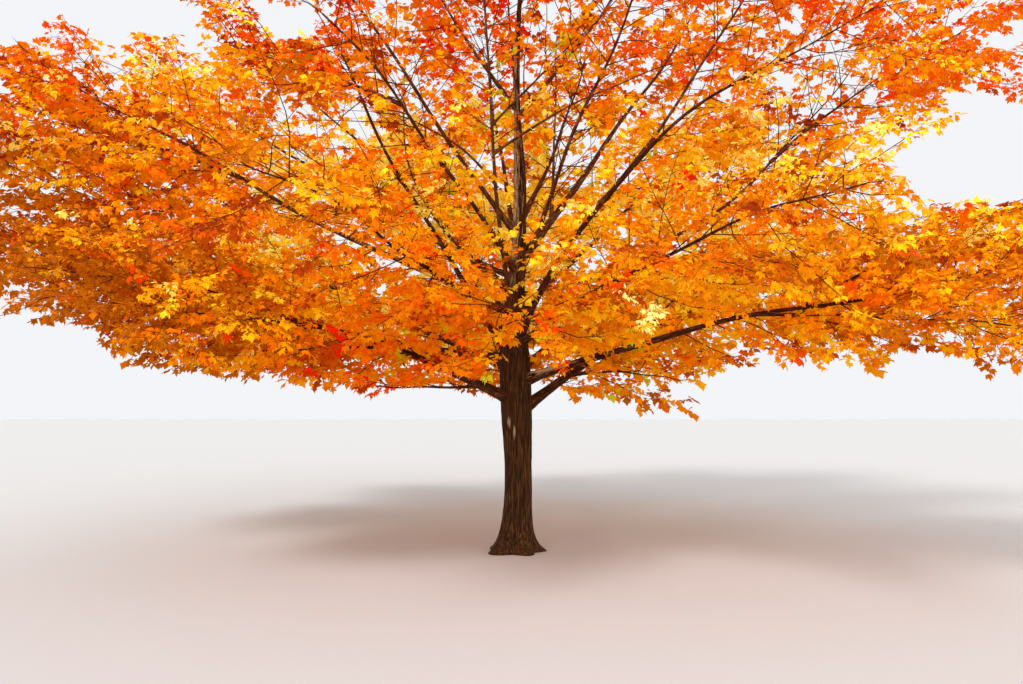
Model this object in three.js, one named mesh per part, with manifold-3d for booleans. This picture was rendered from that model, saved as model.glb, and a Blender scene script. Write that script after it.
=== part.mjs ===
// An open-grown maple tree in autumn leaf: a short trunk with a root flare, boughs that fan out from it,
// and a mass of foliage at the end of each bough. Millimetres and degrees, +Z up. The origin is the centre
// of the flat cut at ground level. A bearing is 0 along +X and 90 along +Y; a slope is above the horizon.
import * as THREE from "three";
import { mergeVertices } from "three/addons/utils/BufferGeometryUtils.js";
import Module from "manifold-3d";

const wasm = await Module();
wasm.setup();

const GAP = 0.3; // between a limb and what carries it
const UP = new THREE.Vector3(0, 0, 1);

// Trunk: its radius at each height, and how it sways
const TRUNK_HEIGHT = 6600;
const TRUNK_PROFILE = [
  [0, 162], [900, 152], [1500, 168], [2100, 166], [2800, 100], [3900, 76], [5200, 40], [TRUNK_HEIGHT, 22],
];
const TRUNK_SIDES = 14;
const TRUNK_STEPS = 16;
const FLARE_WIDTH = 150; // what the root flare adds to the radius at the ground
const FLARE_HEIGHT = 130; // the height in which that falls to a third
const ROOT_LOBES = 5;
const ROOT_LOBE_DEPTH = 0.16; // share of the radius by which the root lobes stand out at the ground
const LEAN = 0.008; // sideways, for each millimetre up
const SWAY = 26;
const SWAY_LENGTH = 3100;

// Limbs: every one runs from its carrier to a leafy tip, and is bare for its first share
const PATH_STEPS = 48;
const WOBBLE = 7; // degrees by which a limb wanders to each side
const WOBBLE_TURNS = 2.3; // times that it wanders there and back
const COLLAR_SWELL = 0.35; // share of the radius that the collar adds at the carrier
const COLLAR_LENGTH = 110;
const TIP_RADIUS = 16;
const TAPER_POWER = 1.25;
const BOUGH_SIDES = 6;
const BOUGH_STEPS = 5;

// Foliage: side shoots leave a stem in pairs, each pair turned from the one before, and carry leaf sprays
const STEM_STEPS = 3;
const SHOOT_PAIRS = 3;
const SHOOT_FIRST = 0.1; // shares of the stem at which the first and the last pair leave it
const SHOOT_LAST = 0.72;
const SHOOT_FORK = 54; // degrees between a shoot and its stem
const SHOOT_TURN = 78; // degrees from one pair to the next
const SHOOT_LENGTH = 1250;
const SHOOT_RADIUS = 10;
const SHOOT_LIFT = 0.1; // share of its length by which a shoot bows up
const SHOOT_TAPER = 0.4; // share of the length that shoots lose towards the stem's tip
const SPRAY_LENGTH = 860;
const SPRAY_SPACING = 455; // between the sprays beside a shoot
const SPRAY_SPLAY = 80; // degrees between a side spray and its shoot
const SPRAY_TILT = 1; // how far a spray's face may lean from level
const SPRAY_DROOP = 0.4;
const SPRAY_TRIES = 8;
const SPRAY_THICK = 0.02; // share of the spray's length
// A spray's outline from its right side round its tip: shares of its length along, across and down
const LOBED = [[0.36, -0.48, 0.09], [0.55, -0.19, 0], [1, 0, 0.09], [0.55, 0.19, 0], [0.36, 0.48, 0.09]];
const PLAIN = [[0.36, -0.42, 0.06], [1, 0, 0.09], [0.36, 0.42, 0.06]];
const SPRAY_HUB = 0.34; // where along a spray it is thickest
const CELL_MARGIN = 16; // each mass stays this far inside its own space
const LIMB_CLEARANCE = 14;
const SKIRT_HEIGHT = 1480; // of the lowest leaves, next to the trunk
const SKIRT_RISE = 0.165; // by which they are higher for each millimetre out from it

const BARK = { color: 0x4a3524, roughness: 0.95, metalness: 0 };
const LIMB_BARK = { color: 0x54402e, roughness: 0.92, metalness: 0 };
const LEAF_TINTS = {
  orange: { color: 0xf0700f, roughness: 0.7, metalness: 0 },
  red: { color: 0xdd3d0c, roughness: 0.7, metalness: 0 },
  gold: { color: 0xf7a81c, roughness: 0.7, metalness: 0 },
};

// name, height on the trunk, bearing, slope at the trunk, slope at the tip, length, base diameter, bare share
// and tint
const LIMBS = [
  ["low_right", 1860, -22, 18, 2, 5500, 112, 0.5, "orange"],
  ["low_right_back", 1510, 15, 38, 7, 4600, 116, 0.42, "gold"],
  ["low_back_right", 1950, 60, 26, 6, 5200, 100, 0.45, "orange"],
  ["low_back", 1780, 103, 24, 8, 5100, 104, 0.45, "gold"],
  ["low_back_left", 2000, 145, 22, 6, 5300, 100, 0.45, "orange"],
  ["low_left", 2120, 187, 6, 19, 5400, 106, 0.5, "orange"],
  ["low_left_front", 1650, 211, 23, 6, 4600, 112, 0.42, "orange"],
  ["low_front_left", 2300, 248, 18, 4, 4500, 84, 0.4, "orange"],
  ["low_front_right", 2250, 301, 20, 2, 4600, 86, 0.42, "orange"],
  ["mid_right", 2230, -38, 64, 4, 5200, 100, 0.5, "orange"],
  ["out_right", 2820, 1, 12, 60, 5100, 96, 0.5, "gold"],
  ["mid_back_right", 2600, 42, 40, 30, 5300, 92, 0.5, "gold"],
  ["mid_back", 2450, 86, 38, 32, 5100, 92, 0.48, "gold"],
  ["mid_back_left", 2700, 126, 42, 30, 5200, 92, 0.48, "gold"],
  ["mid_left", 2660, 205, 18, 30, 5500, 92, 0.52, "red"],
  ["mid_left_back", 2900, 174, 34, 28, 5100, 84, 0.5, "orange"],
  ["mid_front_left", 3100, 236, 38, 24, 4400, 70, 0.48, "red"],
  ["mid_front_right", 2900, 291, 44, 30, 4400, 72, 0.48, "orange"],
  ["up_left", 2090, 160, 55, 66, 6300, 90, 0.55, "red"],
  ["up_right", 3210, 35, 50, 53, 5700, 112, 0.52, "orange"],
  ["up_back", 3300, 99, 48, 54, 5300, 84, 0.5, "gold"],
  ["front_up", 2420, 252, 62, 98, 5300, 68, 0.55, "red"],
  ["leader_left", 3060, 148, 18, 108, 3900, 62, 0.55, "orange"],
  ["leader_right", 3690, 59, 48, 68, 3800, 70, 0.5, "orange"],
  ["up_front_left", 3500, 218, 44, 50, 4800, 68, 0.5, "red"],
  ["top_right", 4900, 345, 46, 60, 3400, 50, 0.42, "red"],
  ["top_back", 5200, 96, 56, 66, 3100, 48, 0.42, "orange"],
  ["top_left", 5000, 197, 50, 62, 3200, 48, 0.42, "red"],
];
// name, its parent limb, how far along that it forks, and then the same as a limb from its bearing on
const FORKS = [["mid_right_fork", "mid_right", 1900, -20, 48, 64, 3700, 56, 0.42, "orange"]];
// The leader's own foliage, which grows on from the trunk's tip
const LEADER = ["crown_top", TRUNK_HEIGHT, 30, 90, 82, 1750, 2 * 22, 0, "red"];

const radians = (degrees) => (degrees * Math.PI) / 180;
const mix = (a, b, t) => a + (b - a) * t;

// A repeatable number from 0 to 1 for a seed and a step
function draw(seed, step) {
  const wave = Math.sin(seed * 127.1 + step * 311.7) * 43758.5453;
  return wave - Math.floor(wave);
}

// The value at a place on a smooth line through rows of [place, value], level beyond its ends
function along(rows, place) {
  const next = rows.findIndex((row) => row[0] >= place);
  if (next === 0) return rows[0][1];
  if (next < 0) return rows.at(-1)[1];
  const [a, b] = [rows[next - 1], rows[next]];
  const t = (place - a[0]) / (b[0] - a[0]);
  return mix(a[1], b[1], t * t * (3 - 2 * t));
}

function trunkCentre(z) {
  const turn = (2 * Math.PI * z) / SWAY_LENGTH;
  return new THREE.Vector3(LEAN * z + SWAY * Math.sin(turn), (SWAY / 2) * (Math.cos(turn) - 1), z);
}

// The trunk's radius at a height and an angle round it, with the lobes of its root flare
function trunkRadius(z, angle) {
  const foot = Math.exp(-z / FLARE_HEIGHT);
  const lobes = 1 + ROOT_LOBE_DEPTH * foot * Math.cos(ROOT_LOBES * angle + Math.sin(angle));
  return (along(TRUNK_PROFILE, z) + FLARE_WIDTH * foot) * lobes;
}

function solidOf(geometry) {
  geometry.deleteAttribute("normal");
  geometry.deleteAttribute("uv");
  const merged = mergeVertices(geometry, 1e-3);
  return new wasm.Manifold(
    new wasm.Mesh({
      numProp: 3,
      vertProperties: merged.attributes.position.array,
      triVerts: new Uint32Array(merged.index.array),
    }),
  );
}

function geometryOf(solid) {
  const mesh = solid.getMesh();
  const geometry = new THREE.BufferGeometry();
  geometry.setAttribute("position", new THREE.BufferAttribute(new Float32Array(mesh.vertProperties), 3));
  geometry.setIndex(new THREE.BufferAttribute(new Uint32Array(mesh.triVerts), 1));
  return geometry;
}

// The largest body of a solid: loose scraps and sealed hollows are left behind
function mainBody(solid) {
  return solid.decompose().reduce((a, b) => (b.volume() > a.volume() ? b : a));
}

// The trunk as a solid, grown by extra all round
function trunkSolid(extra) {
  const shape = new THREE.CylinderGeometry(1, 1, 1, TRUNK_SIDES, TRUNK_STEPS);
  const spots = shape.getAttribute("position");
  for (let i = 0; i < spots.count; i++) {
    const share = (spots.getY(i) + 0.5) ** 1.6; // the rows lie closer together near the flare
    const centre = trunkCentre(TRUNK_HEIGHT * share);
    const angle = Math.atan2(-spots.getZ(i), spots.getX(i));
    const onAxis = Math.hypot(spots.getX(i), spots.getZ(i)) < 1e-6;
    const radius = onAxis ? 0 : trunkRadius(centre.z, angle) + extra;
    spots.setXYZ(i, centre.x + radius * Math.cos(angle), centre.y + radius * Math.sin(angle), centre.z);
  }
  return solidOf(shape);
}

// Adds a limb's path: its slope changes evenly from end to end, and it wanders a little
function withPath(limb, start, seed) {
  const step = limb.length / PATH_STEPS;
  limb.points = [start];
  limb.ways = [];
  for (let i = 0; i < PATH_STEPS; i++) {
    const t = (i + 0.5) / PATH_STEPS;
    const wander = 2 * Math.PI * WOBBLE_TURNS * t;
    const bearing = radians(limb.bearing + WOBBLE * Math.sin(wander + 6 * draw(seed, 1)) * t);
    const rise = WOBBLE * Math.sin(wander + 6 * draw(seed, 2)) * t;
    const slope = radians(mix(limb.slope, limb.lift, t) + rise);
    const flat = Math.cos(slope);
    const way = new THREE.Vector3(flat * Math.cos(bearing), flat * Math.sin(bearing), Math.sin(slope));
    limb.ways.push(way);
    limb.points.push(limb.points[i].clone().addScaledVector(way, step));
  }
  return limb;
}

function pointAt(limb, reach) {
  const place = Math.min((reach / limb.length) * PATH_STEPS, PATH_STEPS - 1e-6);
  const i = Math.floor(place);
  return limb.points[i].clone().lerp(limb.points[i + 1], place - i);
}

const wayAt = (limb, reach) =>
  limb.ways[Math.min(Math.floor((reach / limb.length) * PATH_STEPS), PATH_STEPS - 1)].clone();

// A limb's radius tapers to its tip, and swells into a collar at its carrier
function radiusAt(limb, reach) {
  const left = Math.max(1 - reach / limb.length, 0) ** TAPER_POWER;
  const collar = 1 + COLLAR_SWELL * Math.exp(-Math.max(reach - limb.buried, 0) / COLLAR_LENGTH);
  return mix(TIP_RADIUS, limb.girth / 2, left) * collar;
}

// A closed tube through stations of { at, way, radius }; a last radius of 0 gives a point
function tube(stations, sides) {
  const steps = stations.length - 1;
  const shape = new THREE.CylinderGeometry(stations[steps].radius > 0 ? 1 : 0, 1, 1, sides, steps);
  const spots = shape.getAttribute("position");
  const across = new THREE.Vector3().crossVectors(stations[0].way, UP);
  if (across.length() < 0.1) across.set(1, 0, 0);
  const frames = stations.map(({ way }) => {
    across.addScaledVector(way, -across.dot(way)).normalize();
    return [across.clone(), new THREE.Vector3().crossVectors(across, way)];
  });
  for (let i = 0; i < spots.count; i++) {
    const row = Math.round((spots.getY(i) + 0.5) * steps);
    const angle = Math.atan2(spots.getZ(i), spots.getX(i));
    const radius = Math.hypot(spots.getX(i), spots.getZ(i)) < 1e-6 ? 0 : stations[row].radius;
    const spot = stations[row].at.clone();
    spot.addScaledVector(frames[row][0], radius * Math.cos(angle));
    spot.addScaledVector(frames[row][1], radius * Math.sin(angle));
    spots.setXYZ(i, spot.x, spot.y, spot.z);
  }
  return solidOf(shape);
}

// The stations of a limb from one reach to another, its radius grown by extra
function stationsOf(limb, from, to, steps, extra) {
  const stations = [];
  for (let i = 0; i <= steps; i++) {
    const reach = mix(from, to, i / steps);
    const radius = radiusAt(limb, reach) + extra;
    stations.push({ at: pointAt(limb, reach), way: wayAt(limb, reach), radius });
  }
  return stations;
}

const boughEnd = (limb) => limb.length * limb.bare;

// The bare part of a limb as a solid, grown by extra
function boughSolid(limb, extra) {
  return tube(stationsOf(limb, 0, boughEnd(limb) + extra, BOUGH_STEPS, extra), BOUGH_SIDES);
}

function solidFrom(points, faces) {
  const shape = new THREE.BufferGeometry().setFromPoints(points);
  shape.setIndex(faces.flat());
  return solidOf(shape);
}

// The corners of a spray, one thin blade: round its outline, then the middles of its upper and lower face
function sprayCorners({ root, way, face, length, outline }) {
  const across = new THREE.Vector3().crossVectors(face, way);
  const middle = [SPRAY_THICK / 2, -SPRAY_THICK / 2].map((lift) => [SPRAY_HUB, 0, -lift]);
  return [...outline, ...middle].map(([forward, side, drop]) => {
    const spot = root.clone().addScaledVector(way, forward * length);
    return spot.addScaledVector(across, side * length).addScaledVector(face, -drop * length);
  });
}

// The fans above and below a spray whose outline corners start at first
function sprayFans(first, count) {
  const faces = [];
  for (let i = first; i + 1 < first + count; i++)
    faces.push([first + count, i, i + 1], [first + count + 1, i + 1, i]);
  return faces;
}

// A spray on its own, whose root is a point inside the shoot that carries it
function spraySolid(blade) {
  const points = [blade.root, ...sprayCorners(blade)];
  const count = blade.outline.length;
  const [left, above, below] = [count, count + 1, count + 2];
  const closing = [[above, 0, 1], [above, left, 0], [below, 1, 0], [below, 0, left]];
  return solidFrom(points, [...closing, ...sprayFans(1, count)]);
}

// A three-sided shoot through its stations that opens at its end into a spray, as one closed shape
function shootSolid(stations, blade) {
  const across = new THREE.Vector3().crossVectors(blade.face, blade.way);
  const points = stations.flatMap(({ at, way, radius }) => {
    const side = across.clone().addScaledVector(way, -across.dot(way)).normalize();
    const rise = new THREE.Vector3().crossVectors(way, side);
    const spot = (s, r) => at.clone().addScaledVector(side, s * radius).addScaledVector(rise, r * radius);
    return [spot(-0.87, 0.5), spot(0.87, 0.5), spot(0, -1)];
  });
  const faces = [[1, 2, 0]];
  for (let i = 0; i + 1 < stations.length; i++)
    for (const [a, b] of [[2, 1], [0, 2], [1, 0]])
      faces.push([3 * i + a, 3 * i + b, 3 * i + 3 + b], [3 * i + a, 3 * i + 3 + b, 3 * i + 3 + a]);
  const first = points.length;
  const [rightTop, leftTop, bottom] = [first - 3, first - 2, first - 1];
  const count = blade.outline.length;
  const [right, left, above, below] = [first, first + count - 1, first + count, first + count + 1];
  faces.push(
    [above, leftTop, rightTop], [above, rightTop, right], [above, left, leftTop],
    [below, right, bottom], [below, bottom, left], [rightTop, bottom, right], [bottom, leftTop, left],
  );
  return solidFrom([...points, ...sprayCorners(blade)], [...faces, ...sprayFans(first, count)]);
}

// Limbs, from the tables
const limbs = [...LIMBS, LEADER].map((row, index) => {
  const [name, rise, bearing, slope, lift, length, girth, bare, tint] = row;
  const buried = name === LEADER[0] ? -4 * COLLAR_LENGTH : trunkRadius(rise, 0);
  const limb = { name, bearing, slope, lift, length, girth, bare, tint, buried, index };
  return withPath(limb, trunkCentre(rise), index + 1);
});
for (const [name, parent, reach, bearing, slope, lift, length, girth, bare, tint] of FORKS) {
  const carrier = limbs.find((limb) => limb.name === parent);
  const buried = radiusAt(carrier, reach);
  const index = limbs.length;
  const limb = { name, bearing, slope, lift, length, girth, bare, tint, buried, index, carrier };
  limbs.push(withPath(limb, pointAt(carrier, reach), index + 1));
}
for (const limb of limbs) limb.heart = pointAt(limb, mix(boughEnd(limb), limb.length, 0.5));

// True where a point lies in the mass's own space: nearest to its heart, and above the skirt
function inOwnSpace(limb, point) {
  if (point.z < SKIRT_HEIGHT + SKIRT_RISE * Math.hypot(point.x, point.y)) return false;
  return limbs.every((other) => {
    if (other === limb) return true;
    const way = other.heart.clone().sub(limb.heart).normalize();
    const middle = other.heart.clone().add(limb.heart).multiplyScalar(0.5);
    return point.clone().sub(middle).dot(way) < -CELL_MARGIN;
  });
}

// What the foliage of a limb must keep clear of: the trunk, its own bough and all of every other limb
function obstaclesOf(limb) {
  const boughs = limbs.filter((each) => each.bare > 0).map((each) => boughSolid(each, LIMB_CLEARANCE));
  const stems = limbs.filter((each) => each !== limb).map((each) => {
    return tube(stationsOf(each, boughEnd(each), each.length, STEM_STEPS, LIMB_CLEARANCE), BOUGH_SIDES);
  });
  return [trunkSolid(LIMB_CLEARANCE), ...boughs, ...stems];
}

// True where a solid touches none of the others
const clearOf = (solid, others) => others.every((other) => solid.minGap(other, 1) > 0);

// A spray at a root, turned by seeded draws until it keeps to its mass's space and clear of what is there
function findBlade(limb, root, way, outline, seed, placed) {
  for (let i = 0; i < SPRAY_TRIES; i++) {
    const lean = new THREE.Vector3(...[3, 13, 23].map((first) => draw(seed, first + i) - 0.5));
    const turned = way.clone().addScaledVector(UP, -SPRAY_DROOP).addScaledVector(lean, 0.3 * i).normalize();
    const face = UP.clone().addScaledVector(lean.setZ(0), 2 * SPRAY_TILT);
    face.addScaledVector(turned, -face.dot(turned)).normalize();
    const length = SPRAY_LENGTH * mix(0.85, 1.1, draw(seed, 33)) * (1 - 0.07 * i);
    const blade = { root, way: turned, face, length, outline };
    if (!sprayCorners(blade).every((corner) => inOwnSpace(limb, corner))) continue;
    if (clearOf(spraySolid(blade), placed)) return blade;
  }
  return null;
}

// The way in which a side shoot leaves a stem, rolled round it
function forkWay(way, roll) {
  const level = new THREE.Vector3().crossVectors(way, UP).normalize();
  const over = new THREE.Vector3().crossVectors(level, way);
  const side = level.multiplyScalar(Math.cos(roll)).addScaledVector(over, Math.sin(roll));
  const fork = radians(SHOOT_FORK);
  return way.clone().multiplyScalar(Math.cos(fork)).addScaledVector(side, Math.sin(fork)).normalize();
}

// Adds a side shoot with its sprays to a mass, drawn shorter where it would leave the mass's space
function addShoot(mass, share, roll, length, seed) {
  const { limb, stations: stem } = mass;
  const run = Math.min(Math.floor(share * STEM_STEPS), STEM_STEPS - 1);
  const root = stem[run].at.clone().lerp(stem[run + 1].at, share * STEM_STEPS - run);
  const out = forkWay(stem[run + 1].at.clone().sub(stem[run].at).normalize(), roll);
  for (const shorter of [1, 0.8, 0.6, 0.45]) {
    const span = length * shorter;
    const tip = root.clone().addScaledVector(out, span);
    tip.z += 0.5 * SHOOT_LIFT * span;
    const middle = root.clone().lerp(tip, 0.5);
    middle.z += 0.5 * SHOOT_LIFT * span;
    const place = (t) => (t < 0.5 ? root.clone().lerp(middle, 2 * t) : middle.clone().lerp(tip, 2 * t - 1));
    if (![0.1, 0.2, 0.35, 0.5, 1].map(place).every((spot) => inOwnSpace(limb, spot))) continue;
    const first = middle.clone().sub(root).normalize();
    const last = tip.clone().sub(middle).normalize();
    const stations = [
      { at: root, way: first, radius: 0.6 * SHOOT_RADIUS },
      { at: middle, way: out, radius: 0.8 * SHOOT_RADIUS },
      { at: tip, way: last, radius: 0.5 * SHOOT_RADIUS },
    ];
    const shoot = tube(stations, 3);
    if (!clearOf(shoot, [...mass.obstacles, ...mass.blades])) continue;
    const placed = [...mass.obstacles, ...mass.blades, ...mass.shoots];
    const blade = findBlade(limb, tip, last, LOBED, seed, placed);
    if (!blade) continue;
    mass.solids.push(shootSolid(stations, blade));
    mass.blades.push(spraySolid(blade));
    placed.push(mass.blades.at(-1));
    const beside = Math.round(span / SPRAY_SPACING);
    for (let i = 0; i < beside; i++) {
      const site = (i + 0.7) / (beside + 0.6);
      const hand = (i + Math.floor(seed)) % 2 ? 1 : -1;
      const way = (site < 0.5 ? first : last).clone().applyAxisAngle(UP, hand * radians(SPRAY_SPLAY));
      const spot = place(site).addScaledVector(way, 3);
      const side = findBlade(limb, spot, way, PLAIN, seed + 0.37 * (i + 1), placed);
      if (!side) continue;
      const solid = spraySolid(side);
      mass.blades.push(solid);
      mass.solids.push(solid);
      placed.push(solid);
    }
    mass.shoots.push(shoot);
    return;
  }
}

// A mass of foliage: the limb's leafy stem, its side shoots and their sprays, fused into one body
function foliageSolid(limb) {
  const stations = stationsOf(limb, boughEnd(limb) + GAP, limb.length, STEM_STEPS, 0);
  const tip = stations[STEM_STEPS];
  const aside = new THREE.Vector3(0.01, 0, 0); // so that an upright stem has a face too
  const face = UP.clone().addScaledVector(tip.way, -tip.way.z).add(aside).normalize();
  const level = { root: tip.at, way: tip.way, face, length: 0.5 * SPRAY_LENGTH, outline: LOBED };
  const obstacles = obstaclesOf(limb);
  const blade = findBlade(limb, tip.at, tip.way, LOBED, limb.index + 0.5, obstacles) ?? level;
  const solids = [shootSolid(stations, blade)];
  const mass = { limb, stations, solids, blades: [spraySolid(blade)], shoots: [], obstacles };
  for (let pair = 0; pair < SHOOT_PAIRS; pair++) {
    const share = mix(SHOOT_FIRST, SHOOT_LAST, pair / (SHOOT_PAIRS - 1));
    for (const hand of [0, 1]) {
      const seed = 100 * (limb.index + 1) + 10 * pair + hand;
      const roll = radians(SHOOT_TURN * pair + 180 * hand + 30 * (draw(seed, 4) - 0.5));
      const length = SHOOT_LENGTH * (1 - SHOOT_TAPER * share) * mix(0.85, 1.15, draw(seed, 5));
      addShoot(mass, share, roll, length, seed);
    }
  }
  return mainBody(wasm.Manifold.union(mass.solids));
}

const tree = new THREE.Group();

function add(name, solid, look) {
  const mesh = new THREE.Mesh(geometryOf(solid), new THREE.MeshStandardMaterial(look));
  mesh.name = name;
  tree.add(mesh);
}

add("trunk", trunkSolid(0), BARK);

// Each bough is cut clear of the trunk and of the limbs before it
const carriers = [trunkSolid(GAP)];
for (const limb of limbs.filter((each) => each.bare > 0)) {
  const cut = boughSolid(limb, 0).subtract(wasm.Manifold.union(carriers));
  add(`bough_${limb.name}`, mainBody(cut), LIMB_BARK);
  carriers.push(boughSolid(limb, GAP));
}
for (const limb of limbs) add(`foliage_${limb.name}`, foliageSolid(limb), LEAF_TINTS[limb.tint]);

export default tree;
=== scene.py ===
# An open-grown maple tree in autumn leaf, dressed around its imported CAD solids. Metres, +Z up, and the same
# frame: the origin is the centre of the flat cut at ground level. A bearing is 0 along +X and 90 along +Y.
import math
from functools import partial
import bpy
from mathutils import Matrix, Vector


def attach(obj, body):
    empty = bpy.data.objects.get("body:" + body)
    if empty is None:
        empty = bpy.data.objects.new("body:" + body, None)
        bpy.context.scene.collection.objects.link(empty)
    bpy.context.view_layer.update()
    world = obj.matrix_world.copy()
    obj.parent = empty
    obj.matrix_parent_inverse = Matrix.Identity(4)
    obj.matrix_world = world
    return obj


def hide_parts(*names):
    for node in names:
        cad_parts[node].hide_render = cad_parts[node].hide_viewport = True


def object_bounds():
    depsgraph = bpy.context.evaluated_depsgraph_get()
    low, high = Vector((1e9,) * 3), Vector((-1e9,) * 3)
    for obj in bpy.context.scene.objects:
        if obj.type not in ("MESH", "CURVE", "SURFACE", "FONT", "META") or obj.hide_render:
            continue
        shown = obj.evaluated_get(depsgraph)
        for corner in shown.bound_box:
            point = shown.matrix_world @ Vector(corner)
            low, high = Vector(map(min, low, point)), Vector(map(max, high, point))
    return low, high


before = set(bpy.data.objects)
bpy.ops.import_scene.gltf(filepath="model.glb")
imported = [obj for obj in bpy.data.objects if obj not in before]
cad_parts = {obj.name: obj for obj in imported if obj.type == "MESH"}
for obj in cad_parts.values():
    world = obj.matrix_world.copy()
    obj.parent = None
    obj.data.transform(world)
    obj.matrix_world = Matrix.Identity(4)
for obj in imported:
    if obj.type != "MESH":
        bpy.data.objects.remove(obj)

from types import SimpleNamespace

import bpy
import numpy as np

CAD_BOX = [[float(n) for n in corner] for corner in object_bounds()]
UP = np.array([0.0, 0.0, 1.0])

# The photograph's camera
CAMERA_PLACE = np.array([-0.04, -9.0, 1.67])
CAMERA_PITCH = 4.16  # degrees above the horizon
PHOTO_WIDTH, PHOTO_HEIGHT = 1023, 684
FOCAL_PIXELS = 797
SENSOR_MM = 36
NEAREST_DEPTH = 0.05  # of a point, even one behind the camera

# The floor, and the suns: name, strength, how wide it looks, how it is turned
FLOOR_REACH = 60
FLOOR_DROP = 0.002
SUNS = [("key", 2.05, 14, (50, 0, -32)), ("fill", 1.30, 70, (74, 0, 24))]

# Trunk, as in the CAD source: its radius at each height, and how it sways
TRUNK_HEIGHT = 6.6
TRUNK_PROFILE = [
    (0.0, 0.162), (0.9, 0.152), (1.5, 0.168), (2.1, 0.166), (2.8, 0.100), (3.9, 0.076), (5.2, 0.040),
    (TRUNK_HEIGHT, 0.022),
]
FLARE_WIDTH = 0.150
FLARE_HEIGHT = 0.130
ROOT_LOBES = 5
ROOT_LOBE_DEPTH = 0.16
LEAN = 0.008
SWAY = 0.026
SWAY_LENGTH = 3.1
TRUNK_SIDES = 132
TRUNK_ROWS = 280
TRUNK_CROWDING = 1.35  # of the rows towards the root

# Limbs, as in the CAD source
PATH_STEPS = 48
WOBBLE = 7
WOBBLE_TURNS = 2.3
WOBBLE_PHASE = 6
COLLAR_SWELL = 0.35
COLLAR_LENGTH = 0.110
TIP_RADIUS = 0.006
TAPER_POWER = 1.25
LIMB_SIDES = 14
LIMB_SLIM = 0.82  # of the solid's radius, beyond the slim length
SLIM_LENGTH = 1.4
LIMB_ROWS = 84
LIMB_CROWDING = 1.15
LEADER_BURIED = -4 * COLLAR_LENGTH  # so far that the leader's tip has no collar
SIDE_FORK_BARE = 0.3
SIDE_FORK_SEED = 60
LIMB_SEED = 1000
FORK_BARK_SEED = 50

# Each mass keeps to its own space, above a skirt that rises away from the trunk
SKIRT_HEIGHT = 1.44
SKIRT_RISE = 0.155
NO_HANG = 9.0  # so that the skirt alone counts
CELL_OVERLAP = 0.10  # past the middle between two masses
BOX_SPARE = 0.12  # how far a twig may pass the CAD box

# Shoots leave a limb in pairs, each pair turned from the one before
SHOOT_TURN = 78
SHOOT_FORK = (54, 9)  # and how far either way it varies
SHOOT_SPACING = 0.18
SHOOT_SHIFT = 0.03  # either way along the limb
SHOOT_FIRST = 0.09  # share of a limb's length
SHOOT_CLEAR = 0.25  # and how far outside its carrier at least
LEADER_FIRST = 0.1
SHOOT_LAST = 0.985
SHOOT_LENGTH = 1.45
SHOOT_TAPER = 0.26
INNER_LENGTH = 0.55  # at the limb's root, growing to the whole along the inner part
INNER_PART = 0.42
SHOOT_FLATNESS = 0.8  # the spread up and down, against that to the sides
SHOOT_RISE = 0.10  # that a shoot tends to, with a share of its limb's rise
SHOOT_LIMB_RISE = 0.35
SHOOT_TENDING = 0.6
SHOOT_BEND = 0.21  # how much nearer to that rise each step comes
SHOOT_WANDER = 0.10
SHOOT_STEPS = 6
SHOOT_SIDES = 4
SHOOT_RADIUS = 0.0075
SHOOT_THINNING = 0.6
SHOOT_TIP_RADIUS = 0.0022
SHOOT_FEWEST = 4  # points, or a shoot is left out
SHOOT_PAST_TWIG = -0.02
TIP_SHOOT_LENGTH = 0.85
TIP_SHOOT_RISE = 0.8

# Twigs leave a shoot in pairs
TWIG_FIRST = 0.10
TWIG_FIRST_SPREAD = 0.08
TWIG_FIRST_AT_TIP = 0.02  # on the shoot from a limb's tip
TWIG_LAST = 0.03  # before the shoot's end
TWIG_SPACING = 0.16
TWIG_FORK = (52, 12)
TWIG_ROLL = 20
TWIG_LENGTH = 0.40
TWIG_TAPER = 0.45
END_TWIG_SHARE = 0.6
TWIG_WANDER = 0.16
TWIG_DROOP = 0.12
TWIG_RADIUS = 0.0028
TWIG_TIP_RADIUS = 0.001
TWIG_SIDES = 3
STRAIGHT_FROM = 1.0  # twigs further back than this are straight

# Leaves, in pairs along a twig. A ramp is its start and its span
LEAF_SPACING = 0.040
LEAF_PART = 0.80  # share of a twig along which it has leaves
LEAF_LAST = 0.96
LEAF_LENGTH = 0.075
LEAF_LENGTH_SPREAD = 0.17
LEAF_GROWTH = (0.82, 1.05)  # from a twig's root to its end
LEAF_ROLL = 0.6
LEAF_FORWARD = (0.9, 0.55)  # of the twig's way, for the stalk at its end and for those in pairs
STALK_WANDER = 0.22
STALK_RISE = 0.05
LEAF_SAG = (0.46, 0.30)
LEAF_WANDER = 0.25
FACE_FORWARD = 0.35
FACE_WANDER = 0.40
NEAR_RAMP = (-3.4, 2.8)  # along y, from the side of the photograph's camera
NEAR_SCALE = 0.68  # of the leaves on that side
NEAR_SPACING = 0.80
FAR_RAMP = (0.4, 2)
FAR_SPACING = 1.14
HIGH_RAMP = (3.6, 1.6)
HIGH_FRONT_RAMP = (1.5, -1.5)
HIGH_SCALE = 0.87  # of the leaves high on that side
OUTLINE_RAMP = (-3, 4)
LOBED_SHARES = (0.32, 0.05)  # of the leaves, near and far
SIMPLE_SHARES = (0.28, 0.88)
SIMPLE_SCALE = 1.2
PETIOLE_LENGTH = 0.036
PETIOLE_WIDTH = 0.0026
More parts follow.
